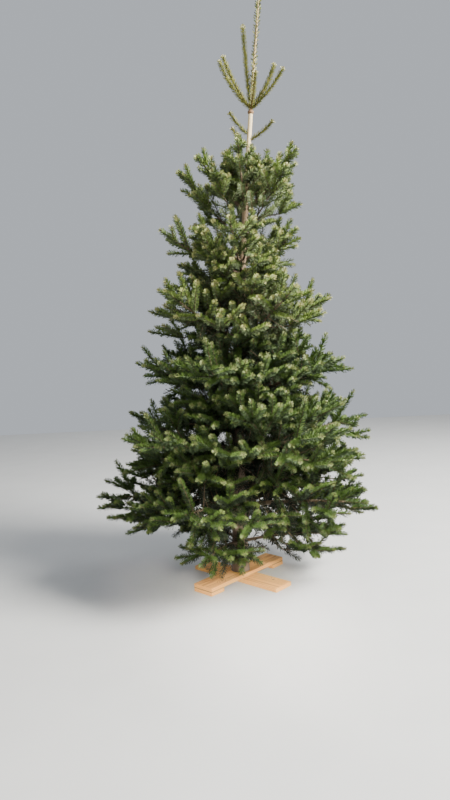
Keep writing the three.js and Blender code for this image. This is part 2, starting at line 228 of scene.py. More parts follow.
for name, sizes in LAMPS.items():
    add_lamp(name, *sizes)
print("lamps:", ", ".join(LAMPS))

world = bpy.data.worlds.new("overcast")
world.use_nodes = True
bpy.context.scene.world = world
background = world.node_tree.nodes["Background"]
background.inputs[0].default_value = (*WORLD_COLOUR, 1)
background.inputs[1].default_value = WORLD_STRENGTH

floor_finish, graph = new_material("pale_floor")
tone = graph.noise(graph.object_place(), scale=3.0, detail=3.0)
colour = graph.blend(tone, *FLOOR_TONES)
finish_material(graph, Base_Color=colour, Roughness=0.85)

corners = [(-1, -1), (1, -1), (1, 1), (-1, 1)]
floor_points = [(x * FLOOR_HALF, y * FLOOR_HALF, z) for z in (-FLOOR_DEPTH, 0.0) for x, y in corners]
floor_faces = [(3, 2, 1, 0), (4, 5, 6, 7)] + [(i, (i + 1) % 4, (i + 1) % 4 + 4, i + 4) for i in range(4)]
floor = add_mesh("floor", floor_points, floor_faces, floor_finish)
print("floor", 2 * FLOOR_HALF, "m square")

# %% [markdown]
# ## The boards of the stand
# The boards are fresh sawn softwood. In a real board the rings of the log run through its whole thickness,
# so they show as long lines on the broad faces and as arcs on the ends. A solid pattern does the same: the
# distance from a line beside the board, bent a little by noise, gives rings that agree on every face.
# The construction boards already have the right shape, so they keep it and only get this finish.

# %% Sizes and tones of the wood
# How far the boards are turned, in degrees. The blocks lie under the upper board.
UPPER_TURN = 47
BOARD_TURNS = {
    "stand_lower_board": 137,
    "stand_upper_board": UPPER_TURN,
    "stand_block_near": UPPER_TURN,
    "stand_block_far": UPPER_TURN,
}

# A dark line of painted shadow shows where the upper board rests on its blocks
SEAM_HEIGHT = 0.0252
SEAM_SHADOW_EDGES = (0.001, 0.0035)

# The middle of the log lies aside of the first board and below it, and elsewhere for each next board
PITH_ASIDE = 0.03
PITH_ASIDE_STEP = -0.02
PITH_BELOW = 0.05
PITH_BELOW_STEP = 0.015
RING_PITCH = 0.0075
RING_BEND = 0.022
LATE_SHARPNESS = 2.5
LATE_SHARE = 0.75

# Each knot's place along and across the board
KNOTS = [(0.19, 0.028), (-0.24, -0.035)]
KNOT_STEP = 0.03
KNOT_SQUEEZE = 1.6
KNOT_REACH = 0.05
KNOT_PUSH = 0.02
KNOT_EDGES = (0.007, 0.011)
KNOT_SHARE = 0.8

STRETCH_OF_BENDS = (0.9, 7.0, 7.0)
STRETCH_OF_FIBRES = (6.0, 260.0, 260.0)
WOOD_TONES = ((0.97, 0.57, 0.18), (0.88, 0.41, 0.10))
LATE_TONE = (0.50, 0.19, 0.045)
KNOT_TONE = (0.20, 0.08, 0.03)
SEAM_SHADOW_TONE = (0.16, 0.06, 0.02)


# %% Solid wood for each board
def add_knots(graph, along, aside, seed):
    """How far the knots push the rings aside, and where they are dark."""
    push = dark = along * 0
    for knot_along, knot_aside in KNOTS:
        first = along - (knot_along + KNOT_STEP * seed)
        second = (aside - knot_aside) * KNOT_SQUEEZE
        away = graph.apply("SQRT", first * first + second * second)
        push = push + graph.smooth(away, 0.0, KNOT_REACH, 1.0, 0.0) * KNOT_PUSH
        dark = graph.apply("MAXIMUM", dark, graph.smooth(away, *KNOT_EDGES, 1.0, 0.0))
    return push, dark


def wood_finish(name, turn, seed):
    material, graph = new_material(name)
    turned = {"Vector": graph.object_place(), "Rotation": (0, 0, radians(turn))}
    mapped = graph.add("ShaderNodeMapping", {"vector_type": "TEXTURE"}, turned)
    split = graph.add("ShaderNodeSeparateXYZ", None, {0: mapped}).socket.node
    along, aside, height = (Wire(graph, socket) for socket in split.outputs)
    stretched = graph.add("ShaderNodeMapping", None, {"Vector": mapped, "Scale": STRETCH_OF_BENDS})
    bend = graph.noise(stretched, scale=2.2 + 0.3 * seed)
    side = aside - (PITH_ASIDE + PITH_ASIDE_STEP * seed)
    depth = height + (PITH_BELOW + PITH_BELOW_STEP * seed)
    push, dark = add_knots(graph, along, aside, seed)
    rings = graph.apply("SQRT", side * side + depth * depth) + (bend - 0.5) * RING_BEND + push
    wave = graph.apply("SINE", rings * (2 * pi / RING_PITCH)) * 0.5 + 0.5
    late = wave**LATE_SHARPNESS
    fibre_place = graph.add("ShaderNodeMapping", None, {"Vector": mapped, "Scale": STRETCH_OF_FIBRES})
    fibre = graph.noise(fibre_place, scale=1.0)
    pale = graph.blend(graph.noise(mapped, scale=7.0), *WOOD_TONES)
    grain = graph.blend(late * LATE_SHARE, pale, LATE_TONE)
    colour = graph.blend(dark * KNOT_SHARE, grain, KNOT_TONE)
    if turn == UPPER_TURN:
        # Painted shadow in the gap where the upper board rests on its blocks
        off_seam = graph.apply("ABSOLUTE", height - SEAM_HEIGHT)
        colour = graph.blend(graph.smooth(off_seam, *SEAM_SHADOW_EDGES, 1.0, 0.0), colour, SEAM_SHADOW_TONE)
    relief = fibre * 0.4 + late * 0.5
    bump = graph.add("ShaderNodeBump", None, {"Strength": 0.35, "Distance": 0.0006, "Height": relief})
    finish_material(graph, Base_Color=colour, Roughness=0.62 + fibre * 0.2, Normal=bump)
    return material


for seed, (name, turn) in enumerate(BOARD_TURNS.items()):
    board_materials = cad_nodes[name].data.materials
    board_materials.clear()
    board_materials.append(wood_finish("sawn_wood_" + name[6:], turn, seed))
print("finished", len(BOARD_TURNS), "boards")

# %% [markdown]
# ## The rule of growth
# The construction model grew its boughs by a seeded rule, and the same rule is written again here, in
# metres, so that the finer twigs follow the same limbs. Each whorl has a ring of boughs. A bough is a curve
# from the trunk to its tip, and pairs of side twigs leave it at forks. They are longest near the trunk.

# %% Sizes of the trunk and the whorls
BOARD_TOP = 0.0506
TRUNK_TOP = 2.930
LEADER_TOP = 3.720
BUTT_RADIUS = 0.052
TOP_RADIUS = 0.013
TAPER_POWER = 1.3
FLARE_RADIUS = 0.009
FLARE_HEIGHT = 0.080
LEAN_AT_TOP = 0.285
LEAN_POWER = 1.665
SWAY = 0.012

# Lengths are in metres and turns in degrees. Skew makes the boughs on the right shorter, and bare is the
# share of a bough that has no twigs.
WHORL_FIELDS = ("name", "height", "count", "turn", "reach", "rise", "bow", "skew", "bare", "limb", "forks")
WHORL_ROWS = [
    ("2", 2.334, 5, 46, 0.330, 0.350, -0.025, -0.08, 0.00, 0.009, 2),
    ("3", 1.945, 5, 48, 0.440, 0.270, -0.025, 0.13, 0.00, 0.010, 2),
    ("4", 1.540, 5, 10, 0.605, 0.255, -0.020, 0.02, 0.00, 0.011, 2),
    ("5", 1.185, 5, 40, 0.660, 0.215, -0.010, -0.05, 0.20, 0.013, 3),
    ("6", 0.827, 5, 8, 0.800, 0.150, 0.005, -0.07, 0.20, 0.015, 3),
    ("7", 0.469, 5, 34, 0.870, 0.125, 0.020, -0.03, 0.20, 0.016, 3),
    ("8", 0.232, 3, 5, 0.560, 0.010, 0.030, -0.20, 0.24, 0.011, 2),
]
WHORLS = [SimpleNamespace(**dict(zip(WHORL_FIELDS, row))) for row in WHORL_ROWS]

AZIMUTH_SPREAD = 4
REACH_SPREAD = (0.96, 1.03)
RISE_SPREAD = 0.025
LIMB_TAPER = 0.78

CHANCE_STEP = 1664525
CHANCE_SHIFT = 1013904223
CHANCE_RANGE = 4294967296
SEED_SPREAD = 7919
WHORL_SEED = 100


def chance(seed):
    state = (seed * SEED_SPREAD) % CHANCE_RANGE

    def draw(low, high):
        nonlocal state
        state = (state * CHANCE_STEP + CHANCE_SHIFT) % CHANCE_RANGE
        return low + (high - low) * state / CHANCE_RANGE

    draw(0, 1)
    draw(0, 1)
    return draw


# %% The trunk's line and the boughs' curves
def trunk_axis(height):
    share = height / LEADER_TOP
    return Vector((LEAN_AT_TOP * share**LEAN_POWER, SWAY * sin(2 * pi * share), height))


def trunk_radius(height):
    share = (height - BOARD_TOP) / (TRUNK_TOP - BOARD_TOP)
    flare = FLARE_RADIUS * exp(-(height - BOARD_TOP) / FLARE_HEIGHT)
    return TOP_RADIUS + (BUTT_RADIUS - TOP_RADIUS) * (1 - share) ** TAPER_POWER + flare


def list_boughs():
    boughs = []
    for w, whorl in enumerate(WHORLS):
        sector = 360 / whorl.count
        for k in range(whorl.count):
            seed = WHORL_SEED * (w + 2) + k + 1
            draw = chance(seed)
            azimuth = radians(whorl.turn + k * sector + draw(-AZIMUTH_SPREAD, AZIMUTH_SPREAD))
            reach = whorl.reach * (1 - whorl.skew * cos(azimuth)) * draw(*REACH_SPREAD)
            rise = whorl.rise + draw(-RISE_SPREAD, RISE_SPREAD)
            bough = SimpleNamespace(whorl=whorl, azimuth=azimuth, reach=reach, rise=rise, sector=sector)
            bough.name = f"{whorl.name}_{k + 1}"
            bough.draw = draw
            bough.seed = seed
            boughs.append(bough)
    return boughs


def point_on(bough, share):
    out = bough.reach * share
    lift = bough.rise * share + 4 * bough.whorl.bow * share * (1 - share)
    return trunk_axis(bough.whorl.height) + Vector(
        (out * cos(bough.azimuth), out * sin(bough.azimuth), lift)
    )


def run_on(bough, share):
    small = 0.01
    return (point_on(bough, share + small) - point_on(bough, share - small)).normalized()


def limb_radius(bough, share):
    return bough.whorl.limb * (1 - LIMB_TAPER * share)


def across(run):
    level = UP.cross(run).normalized()
    upright = run.cross(level).normalized()
    return level, upright


boughs = list_boughs()
print(len(boughs), "boughs from", boughs[0].name, "to", boughs[-1].name)

# %% [markdown]
# Between two whorls a fir also has thinner boughs, which fill the gaps of the crown. Each main bough gets
# two or three of them in its own sector, each at its own height towards the next whorl. They follow the same
# rule as the main boughs with smaller sizes.

# %% Thinner boughs between the whorls
# Each row: how far up to the next whorl, how far aside in the sector, and how long beside the main bough
MINOR_ROWS = [(0.36, -0.27, 0.72), (0.70, 0.24, 0.60)]
TOP_MINOR_ROWS = [(-0.44, -0.34, 1.06), (0.12, 0.50, 0.62), (0.45, 0.25, 0.50)]
THIRD_MINOR_ROWS = [(-0.30, -0.27, 0.80), (0.22, 0.24, 0.70)]
FOOT_MINOR_ROWS = [(0.36, -0.27, 0.80), (-0.10, 0.22, 0.60)]
LEFT_MINOR_ROWS = [(-0.56, -0.30, 1.34), (0.12, 0.50, 0.62), (0.45, 0.25, 0.50)]
OTHER_ROWS = {"2": TOP_MINOR_ROWS, "2_3": LEFT_MINOR_ROWS, "3": THIRD_MINOR_ROWS, "8_3": FOOT_MINOR_ROWS}
NEXT_WHORL_GAP = 0.36
MINOR_SEED = 5000
MINOR_SPREAD = 0.06
MINOR_REACH_SPREAD = (0.9, 1.05)
MINOR_RISE_SPREAD = 0.03
MINOR_LIMB = 0.6
MINOR_BOW = 0.5
MINOR_FORKS = 2


def minor_boughs(bough):
    whorl = bough.whorl
    rows = OTHER_ROWS.get(bough.name, OTHER_ROWS.get(whorl.name, MINOR_ROWS))
    found = []
    for i, (up, aside, size) in enumerate(rows):
        seed = MINOR_SEED + 10 * bough.seed + i
        draw = chance(seed)
        lower = dict(vars(whorl))
        lower["height"] = whorl.height + NEXT_WHORL_GAP * (up + draw(-MINOR_SPREAD, MINOR_SPREAD))
        lower["limb"] = whorl.limb * MINOR_LIMB
        lower["forks"] = MINOR_FORKS
        lower["bow"] = whorl.bow * MINOR_BOW
        minor = SimpleNamespace(whorl=SimpleNamespace(**lower), draw=draw, seed=seed)
        turn = bough.sector * (aside + draw(-MINOR_SPREAD, MINOR_SPREAD))
        minor.azimuth = bough.azimuth + radians(turn)
        minor.reach = bough.reach * size * draw(*MINOR_REACH_SPREAD)
        minor.rise = bough.rise * size + draw(-MINOR_RISE_SPREAD, MINOR_RISE_SPREAD)
        minor.sector = bough.sector
        found.append(minor)
    return found


minors = [minor for bough in boughs for minor in minor_boughs(bough)]
print(len(minors), "thinner boughs")

# %% [markdown]
# ## Twigs and shoots
# A fir twig grows one shoot a year, straight on from its tip, and a pair of side twigs at the end of each
# year's growth. So a twig is a chain of shoots, each about as long as a hand, and every fork
# repeats the same rule on a shorter twig. The last year's shoots, at all the tips, are the freshest.
# The lists below hold what later cells turn into meshes: lines for the stems, and shoots for the needles.

# %% The room that the crown keeps to
SECTOR_SLACK = 5
LAYER_DEPTH = 0.300
NEAR_TRUNK = 0.130
PAST_TIP = 1.1
GROUND_CLEARANCE = 0.034
TRUNK_CLEARANCE = 0.02
STAND_REACH = 0.36
STAND_CLEARANCE = 0.085


def is_clear(point):
    if point.z < GROUND_CLEARANCE:
        return False
    away = (point - trunk_axis(point.z)).length
    if point.z < TRUNK_TOP and away < trunk_radius(point.z) + TRUNK_CLEARANCE:
        return False
    over_stand = max(abs(point.x), abs(point.y)) < STAND_REACH
    return not (over_stand and point.z < STAND_CLEARANCE)


def leaves_space(bough, point):
    axis = trunk_axis(point.z)
    out_x, out_y = point.x - axis.x, point.y - axis.y
    distance = hypot(out_x, out_y)
    if distance < NEAR_TRUNK:
        return False
    turn = atan2(out_y, out_x) - bough.azimuth
    away = abs(atan2(sin(turn), cos(turn)))
    layer = point_on(bough, min(distance / bough.reach, PAST_TIP)).z
    return away > radians(bough.sector / 2 + SECTOR_SLACK) or abs(point.z - layer) > LAYER_DEPTH


# %% The rule for side twigs
# Lengths are in metres and angles in degrees. A spread is how far a value strays to either side, or the two
# ends of its range, and the two lifts take turns from fork to fork.
YEAR = 0.180
FORK_SPREAD = 7
FORK_TILT = 24
TWIG_ANGLE = 40
TWIG_LIFTS = (0, 12)
TWIG_TILT_SHARE = 0.6
TWIG_LENGTH = 0.60
TWIG_LEAST = 0.20
TWIG_LENGTH_SPREAD = (0.85, 1.1)
TWIG_SAG = 0.080
TWIG_FOOT_RADIUS = 0.0016
TWIG_RADIUS_PER_METRE = 0.008
TWIG_TIP_RADIUS = 0.0014
ROLL_EASE = 0.5
FINGER_LIFT = 0.02
FINGER_LIFT_PER_METRE = 0.13
SHORTEST_SHOOT = 0.155
UPRIGHT_CHANCE = 0.70
UPRIGHT_LENGTH = (0.13, 0.17)
UPRIGHT_LIFT = (38, 62)
UPRIGHT_LEAN = 0.25
FINEST_ORDER = 4

# A shoot counts a year older within the first of these shares of the bough's reach, and two within the
# second, so that the inner crown takes the darker greens of older needles as painted shade
OLDER_AND_SHADED_WITHIN = (0.55, 0.3)

stems = []
shoots = []


def shoot_age_and_shade(bough, middle, years):
    axis = trunk_axis(middle.z)
    depth = hypot(middle.x - axis.x, middle.y - axis.y) / bough.reach
    return years + sum(1 for share in OLDER_AND_SHADED_WITHIN if depth < share)


def side_way(run, level, upright, side, angle, tilt):
    """The direction of a side twig that leaves run by angle, tilted out of the level plane."""
    way = run * cos(angle) + level * (side * sin(angle) * cos(tilt))
    return way + upright * (sin(angle) * sin(tilt))


def grow_twig(bough, start, run, length, roll, order, draw, least_age=0):
    """A chain of yearly shoots from start along run, with a pair of side twigs at each joint."""
    years = max(1, round(length / YEAR))
    sag = TWIG_SAG * length * (1 - abs(run.z))

    def point_at(share):
        return start + run * (length * share) - UP * (4 * sag * share * (1 - share))

    points = [point_at(i / years) for i in range(years + 1)]
    if not all(is_clear(point) for point in points[1:]):
        return
    thick = TWIG_FOOT_RADIUS + TWIG_RADIUS_PER_METRE * length
    radii = [thick + (TWIG_TIP_RADIUS - thick) * (i / years) for i in range(years + 1)]
    stems.append(SimpleNamespace(points=points, radii=radii))
    for i in range(years):
        middle = (points[i] + points[i + 1]) / 2
        age = max(least_age, shoot_age_and_shade(bough, middle, years - 1 - i))
        shoots.append(SimpleNamespace(points=[points[i], middle, points[i + 1]], age=age, bough=bough))
    if order >= FINEST_ORDER:
        return
    turned = Matrix.Rotation(roll, 3, run)
    level, upright = (turned @ direction for direction in across(run))
    lift_here = UP * (FINGER_LIFT + FINGER_LIFT_PER_METRE * start.z)
    for i in range(1, years):
        left = TWIG_LENGTH * (1 - i / years) + TWIG_LEAST
        for side in (-1, 1):
            angle = radians(TWIG_ANGLE + draw(-FORK_SPREAD, FORK_SPREAD))
            tilt = radians(TWIG_LIFTS[i % 2] + draw(-FORK_TILT, FORK_TILT) * TWIG_TILT_SHARE)
            side_length = max(length * left * draw(*TWIG_LENGTH_SPREAD), SHORTEST_SHOOT)
            way = (side_way(run, level, upright, side, angle, tilt) + lift_here).normalized()
            grow_twig(bough, points[i], way, side_length, roll * ROLL_EASE, order + 1, draw)
        if draw(0, 1) < UPRIGHT_CHANCE:
            lift = radians(draw(*UPRIGHT_LIFT))
            way = run * cos(lift) + UP * sin(lift) + level * draw(-UPRIGHT_LEAN, UPRIGHT_LEAN)
            grow_twig(bough, points[i], way.normalized(), draw(*UPRIGHT_LENGTH), 0, FINEST_ORDER, draw)


# %% Twigs at the forks of a bough
FORK_ANGLE = 48
FORK_LIFTS = (-6, 16)
FORK_LENGTH = 0.74
FORK_LEAST = 0.17
FORK_LENGTH_SPREAD = (0.9, 1.06)
FORK_STAGGER = 0.018
FIRST_FORK = 0.27
LAST_FORK = 0.83
FORK_AFTER_BARE = 0.07
SPRAY_ROLL = 60
TWIG_ROLL_SHARE = 0.35
FIRST_ORDER = 2

# Smaller twigs that stand up and hang down: angle, how far ahead, least length, part of the reach
STANDING = [(58, 0.055, 0.090, 0.36), (-52, -0.055, 0.080, 0.30)]
STANDING_SPREAD = 8
STANDING_EASE = 0.8
STANDING_FADE = 0.5
STANDING_ROLL = 45


def add_side_twig(bough, root, way, length, roll, fine):
    if not leaves_space(bough, root + way * length):
        grow_twig(bough, root, way, length, roll, FIRST_ORDER, fine)


def grow_forks(bough, first_fork, fine):
    whorl, draw, reach = bough.whorl, bough.draw, bough.reach
    for fork in range(whorl.forks):
        share = first_fork + (LAST_FORK - first_fork) * fork / (whorl.forks - 0.5)
        run = run_on(bough, share)
        level, upright = across(run)
        for side in (-1, 1):
            root = point_on(bough, share + side * FORK_STAGGER)
            angle = radians(FORK_ANGLE + draw(-FORK_SPREAD, FORK_SPREAD))
            tilt = radians(FORK_LIFTS[fork % 2] + draw(-FORK_TILT, FORK_TILT))
            length = reach * (FORK_LENGTH * (1 - share) + FORK_LEAST) * draw(*FORK_LENGTH_SPREAD)
            roll = radians(draw(-SPRAY_ROLL, SPRAY_ROLL)) * TWIG_ROLL_SHARE
            way = side_way(run, level, upright, side, angle, tilt)
            add_side_twig(bough, root, way, length, roll, fine)
        for angle, ahead, least, part in STANDING:
            spread = draw(-STANDING_SPREAD, STANDING_SPREAD)
            lift = radians(angle * (1 - STANDING_EASE * run.z) + spread)
            way = run * cos(lift) + upright * sin(lift)
            length = (least + part * reach) * (1 - STANDING_FADE * fork / whorl.forks)
            roll = radians(draw(-STANDING_ROLL, STANDING_ROLL))
            add_side_twig(bough, point_on(bough, share + ahead), way, length, roll, fine)


# %% Shorter twigs between the forks
FILL_ANGLE = 54
FILL_TILT = (-30, 36)
FILL_SHARE = 0.62
FILL_LENGTH_SPREAD = (0.8, 1.05)
FILL_AFTER_BARE = 0.02
OPEN_WHORLS = ("2", "3")
OPEN_UP_TO = 0.45

INNER_FROM = 0.12
INNER_TO = 0.66
INNER_STEP = 0.06
INNER_COUNT = 2
INNER_ANGLE = (40, 80)
INNER_LENGTH = (0.10, 0.19)
OLD_AGE = 2


def fill_between_forks(bough, first_fork, fine):
    """Shorter pairs between the forks fill the plate of the bough."""
    whorl = bough.whorl
    gap = (LAST_FORK - first_fork) / (whorl.forks - 0.5)
    for fork in range(whorl.forks + 1):
        share = first_fork + gap * (fork - 0.5)
        if share < whorl.bare + FILL_AFTER_BARE or (whorl.name in OPEN_WHORLS and share < OPEN_UP_TO):
            continue
        run = run_on(bough, share)
        level, upright = across(run)
        for side in (-1, 1):
            angle = radians(FILL_ANGLE + fine(-FORK_SPREAD, FORK_SPREAD))
            tilt = radians(fine(*FILL_TILT))
            left = FORK_LENGTH * (1 - share) + FORK_LEAST
            length = FILL_SHARE * bough.reach * left * fine(*FILL_LENGTH_SPREAD)
            way = side_way(run, level, upright, side, angle, tilt)
            add_side_twig(bough, point_on(bough, share + side * FORK_STAGGER), way, length, 0, fine)


def grow_inner_twigs(bough, fine):
    """Short old twigs all round the inner part of the bough make the inside of the crown dark, also by the
    dark green of old needles, which is partly painted shade.
    """
    share = INNER_FROM
    while share < INNER_TO and bough.whorl.name not in OPEN_WHORLS:
        run = run_on(bough, share)
        level, upright = across(run)
        for _ in range(INNER_COUNT):
            angle = radians(fine(*INNER_ANGLE))
            turn = fine(0, 2 * pi)
            out = level * cos(turn) + upright * sin(turn)
            way = run * cos(angle) + out * sin(angle)
            length = fine(*INNER_LENGTH)
            grow_twig(bough, point_on(bough, share), way, length, 0, FINEST_ORDER, fine, OLD_AGE)
        share += INNER_STEP / bough.reach


# %% Grow every mass of foliage
STEM_END = 0.9
TIP_ROOT = 0.78
TIP_LENGTH = 0.28
TIP_ROLL = 30
OLD_NEEDLES_FROM = 0.42
FINE_SEED = 9000


def keep_old_needles(bough):
    """Old needles stay on the outer part of the bough itself."""
    steps = max(2, round(0.5 * bough.reach / YEAR))
    for i in range(steps):
        near, far = (OLD_NEEDLES_FROM + (STEM_END - OLD_NEEDLES_FROM) * (i + j) / steps for j in (0, 1))
        line = [point_on(bough, near), point_on(bough, (near + far) / 2), point_on(bough, far)]
        shoots.append(SimpleNamespace(points=line, age=OLD_AGE, bough=bough))


def grow_mass(bough):
    fine = chance(FINE_SEED + bough.seed)
    first_fork = max(bough.whorl.bare + FORK_AFTER_BARE, FIRST_FORK)
    grow_forks(bough, first_fork, fine)
    roll = radians(bough.draw(-TIP_ROLL, TIP_ROLL))
    run = run_on(bough, STEM_END)
    add_side_twig(bough, point_on(bough, TIP_ROOT), run, TIP_LENGTH * bough.reach, roll, fine)
    fill_between_forks(bough, first_fork, fine)
    grow_inner_twigs(bough, fine)
    keep_old_needles(bough)


for bough in boughs + minors:
    grow_mass(bough)
ages = [sum(1 for one in shoots if one.age == age) for age in range(6)]
print(len(stems), "twigs and", len(shoots), "shoots, by age", ages)

# %% [markdown]
# ## Bark on the trunk and the boughs
# The trunk is nearly round, with a small flare at the foot, a swelling at each whorl and shallow relief in
# its skin. It is made as a long tube of rings whose points are pushed in and out by noise, because noise on
# points gives a true outline, which a bump in the shader would not. The boughs are the same tube at a
# smaller size. Their feet reach into the trunk, as they do in the real tree.


# %% Tubes with relief
# A tube steeper than this takes its sides from +X, because UP would lie too close to its run
STEEP_RUN = 0.7


class MeshParts:
    """Collects points and faces of many small shapes that end up in one mesh."""

    def __init__(self):
        self.points = []
        self.faces = []

    def add_tube(self, centres, radii, sides, relief):
        start = len(self.points)
        count = len(centres)
        whole = (centres[-1] - centres[0]).normalized()
        aside = Vector((1, 0, 0)) if abs(whole.z) > STEEP_RUN else UP
        for i, (centre, radius) in enumerate(zip(centres, radii)):
            run = (centres[min(i + 1, count - 1)] - centres[max(i - 1, 0)]).normalized()
            first = aside.cross(run).normalized()
            second = run.cross(first)
            for k in range(sides):
                angle = 2 * pi * k / sides
                out = first * cos(angle) + second * sin(angle)
                spot = centre + out * radius
                self.points.append(spot + out * relief(spot, radius))
        for i in range(count - 1):
            for k in range(sides):
                a = start + i * sides + k
                b = start + i * sides + (k + 1) % sides
                self.faces.append((a, b, b + sides, a + sides))
        last = start + (count - 1) * sides
        self.faces.append(tuple(range(start + sides - 1, start - 1, -1)))
        self.faces.append(tuple(range(last, last + sides)))

    def as_object(self, name, finish):
        return add_mesh(name, self.points, self.faces, finish, smooth=True)


# %% Relief of the trunk and the boughs
SWELLING = 0.0035
SWELLING_HALF_HEIGHT = 0.022

# How often the noise repeats across and along the trunk, and how deep it is beside the radius
FURROWS = (60, 14, 0.030)
GRAIN = (190, 60, 0.012)

# How often blisters come, how much of the noise is no blister, and how high they are beside the radius
BLISTERS = (95, 0.42, 0.05)
LIMB_RIPPLES = [(120, 0.08), (320, 0.04)]


def whorl_swelling(height):
    swell = 0.0
    for whorl in WHORLS:
        swell += SWELLING * exp(-(((height - whorl.height) / SWELLING_HALF_HEIGHT) ** 2))
    return swell


def ripples(spot, aside, along, depth):
    return noise.noise(Vector((spot.x * aside, spot.y * aside, spot.z * along))) * depth


def trunk_relief(spot, radius):
    often, least, rise = BLISTERS
    blister = max(0.0, noise.noise(spot * often) - least) * rise * radius
    return ripples(spot, *FURROWS) * radius + ripples(spot, *GRAIN) * radius + blister


def limb_relief(spot, radius):
    return sum(noise.noise(spot * often) * depth * radius for often, depth in LIMB_RIPPLES)


# %% Tubes for the trunk and the boughs
TRUNK_RINGS = 380
TRUNK_SIDES = 40
LIMB_RINGS = 26
LIMB_SIDES = 10
LIMB_FOOT_SWELL = 0.5
LIMB_FOOT_REACH = 0.03

wood = MeshParts()
heights = [BOARD_TOP + (TRUNK_TOP - BOARD_TOP) * i / TRUNK_RINGS for i in range(TRUNK_RINGS + 1)]
wood.add_tube(
    [trunk_axis(h) for h in heights],
    [trunk_radius(h) + whorl_swelling(h) for h in heights],
    TRUNK_SIDES,
    trunk_relief,
)
limbs = MeshParts()
for bough in boughs + minors:
    shares = [STEM_END * i / LIMB_RINGS for i in range(LIMB_RINGS + 1)]
    feet = [1 + LIMB_FOOT_SWELL * exp(-share * bough.reach / LIMB_FOOT_REACH) for share in shares]
    limbs.add_tube(
        [point_on(bough, share) for share in shares],
        [limb_radius(bough, share) * foot for share, foot in zip(shares, feet)],
        LIMB_SIDES,
        limb_relief,
    )
print(len(wood.points) + len(limbs.points), "points of bark")

# %% [markdown]
# ## The finish of the bark
# Fir bark is grey-brown and dull on the old wood. On the last few years' growth near the top it is a pale,
# pinkish cream. The colour follows the height along the trunk, with mottling in between. The boughs are
# given a darker brown all the way, as painted shade, because little light reaches them.


# %% Bark finish
OLD_BARK = ((0.105, 0.070, 0.045), (0.26, 0.19, 0.135))
YOUNG_BARK = ((0.42, 0.27, 0.15), (0.70, 0.50, 0.33))
TOP_BARK = ((0.56, 0.41, 0.20), (0.86, 0.69, 0.40))
# The boughs' bark, darker than the trunk's as painted shade
LIMB_BARK_AND_SHADE = ((0.085, 0.058, 0.036), (0.25, 0.175, 0.105))
BARK_SPOTS = (0.07, 0.045, 0.03)
YOUNG_HEIGHTS = (1.6, 2.35)
TOP_HEIGHTS = (2.30, 2.70)


def bark_finish():
    material, graph = new_material("fir_bark")
    place = graph.object_place()
    height = graph.height_of(place)
    mottle = graph.mottle(26.0, 4.0)
    fine = graph.noise(place, scale=180.0)
    old = graph.blend(mottle, *OLD_BARK)
    young = graph.blend(mottle, *YOUNG_BARK)
    top = graph.blend(mottle, *TOP_BARK)
    colour = graph.blend(graph.smooth(height + (mottle - 0.5) * 0.4, *YOUNG_HEIGHTS), old, young)
    colour = graph.blend(graph.smooth(height, *TOP_HEIGHTS), colour, top)
    colour = graph.blend(graph.smooth(fine, 0.62, 0.75) * 0.5, colour, BARK_SPOTS)
    bump = graph.add("ShaderNodeBump", None, {"Strength": 0.5, "Distance": 0.002, "Height": fine + mottle})
    finish_material(graph, Base_Color=colour, Roughness=0.7 + fine * 0.2, Normal=bump)
    return material


def limb_finish():
    material, graph = new_material("limb_bark")
    mottle = graph.mottle(34.0, 4.0)
    fine = graph.noise(graph.object_place(), scale=200.0)
    colour = graph.blend(mottle, *LIMB_BARK_AND_SHADE)
    bump = graph.add("ShaderNodeBump", None, {"Strength": 0.5, "Distance": 0.001, "Height": fine})
    finish_material(graph, Base_Color=colour, Roughness=0.72 + fine * 0.18, Normal=bump)
    return material


trunk_bark = wood.as_object("trunk_bark", bark_finish())
limb_bark = limbs.as_object("limb_bark", limb_finish())
bough_nodes = [name for name in cad_nodes if name.startswith("bough_")]
for piece, nodes in ((trunk_bark, ["trunk"]), (limb_bark, bough_nodes)):
    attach(piece, "root")
    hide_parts(*nodes)
print("bark stands for the trunk and", len(bough_nodes), "boughs")

# %% [markdown]
# ## Stems of the twigs
# Each twig is a tapering stem. The lines of all twigs go into one mesh of edges, with a radius on every
# point. Geometry Nodes then sweeps a small ring along every line at once.


# %% Lines with values on their points
def line_object(name, lines, **attributes):
    points = [point for line in lines for point in line]
    edges = []
    start = 0
    for line in lines:
        edges += [(start + i, start + i + 1) for i in range(len(line) - 1)]
        start += len(line)
    mesh = bpy.data.meshes.new(name)
    mesh.from_pydata([tuple(p) for p in points], edges, [])
    for key, values in attributes.items():
        attribute = mesh.attributes.new(key, "FLOAT", "POINT")
        attribute.data.foreach_set("value", np.array(values, np.float32))
    return add_object(name, mesh)


def new_tree(name, sizes):
    tree = bpy.data.node_groups.new(name, "GeometryNodeTree")
    face = tree.interface
    face.new_socket("Geometry", in_out="INPUT", socket_type="NodeSocketGeometry")
    for label, value in sizes.items():
        kind = "NodeSocketInt" if isinstance(value, int) else "NodeSocketFloat"
        socket = face.new_socket(label, in_out="INPUT", socket_type=kind)
        socket.default_value = value
    face.new_socket("Finish", in_out="INPUT", socket_type="NodeSocketMaterial")
    face.new_socket("Geometry", in_out="OUTPUT", socket_type="NodeSocketGeometry")
    graph = Graph(tree)
    entry = tree.nodes.new("NodeGroupInput")
    inputs = {socket.name: Wire(graph, socket) for socket in entry.outputs if socket.name}
    return tree, graph, inputs


def end_tree(graph, geometry, finish):
    whole = graph.add("GeometryNodeRealizeInstances", None, {0: geometry})
    painted = graph.add("GeometryNodeSetMaterial", None, {"Geometry": whole, "Material": finish})
    output = graph.tree.nodes.new("NodeGroupOutput")
    graph.feed(output.inputs[0], painted)


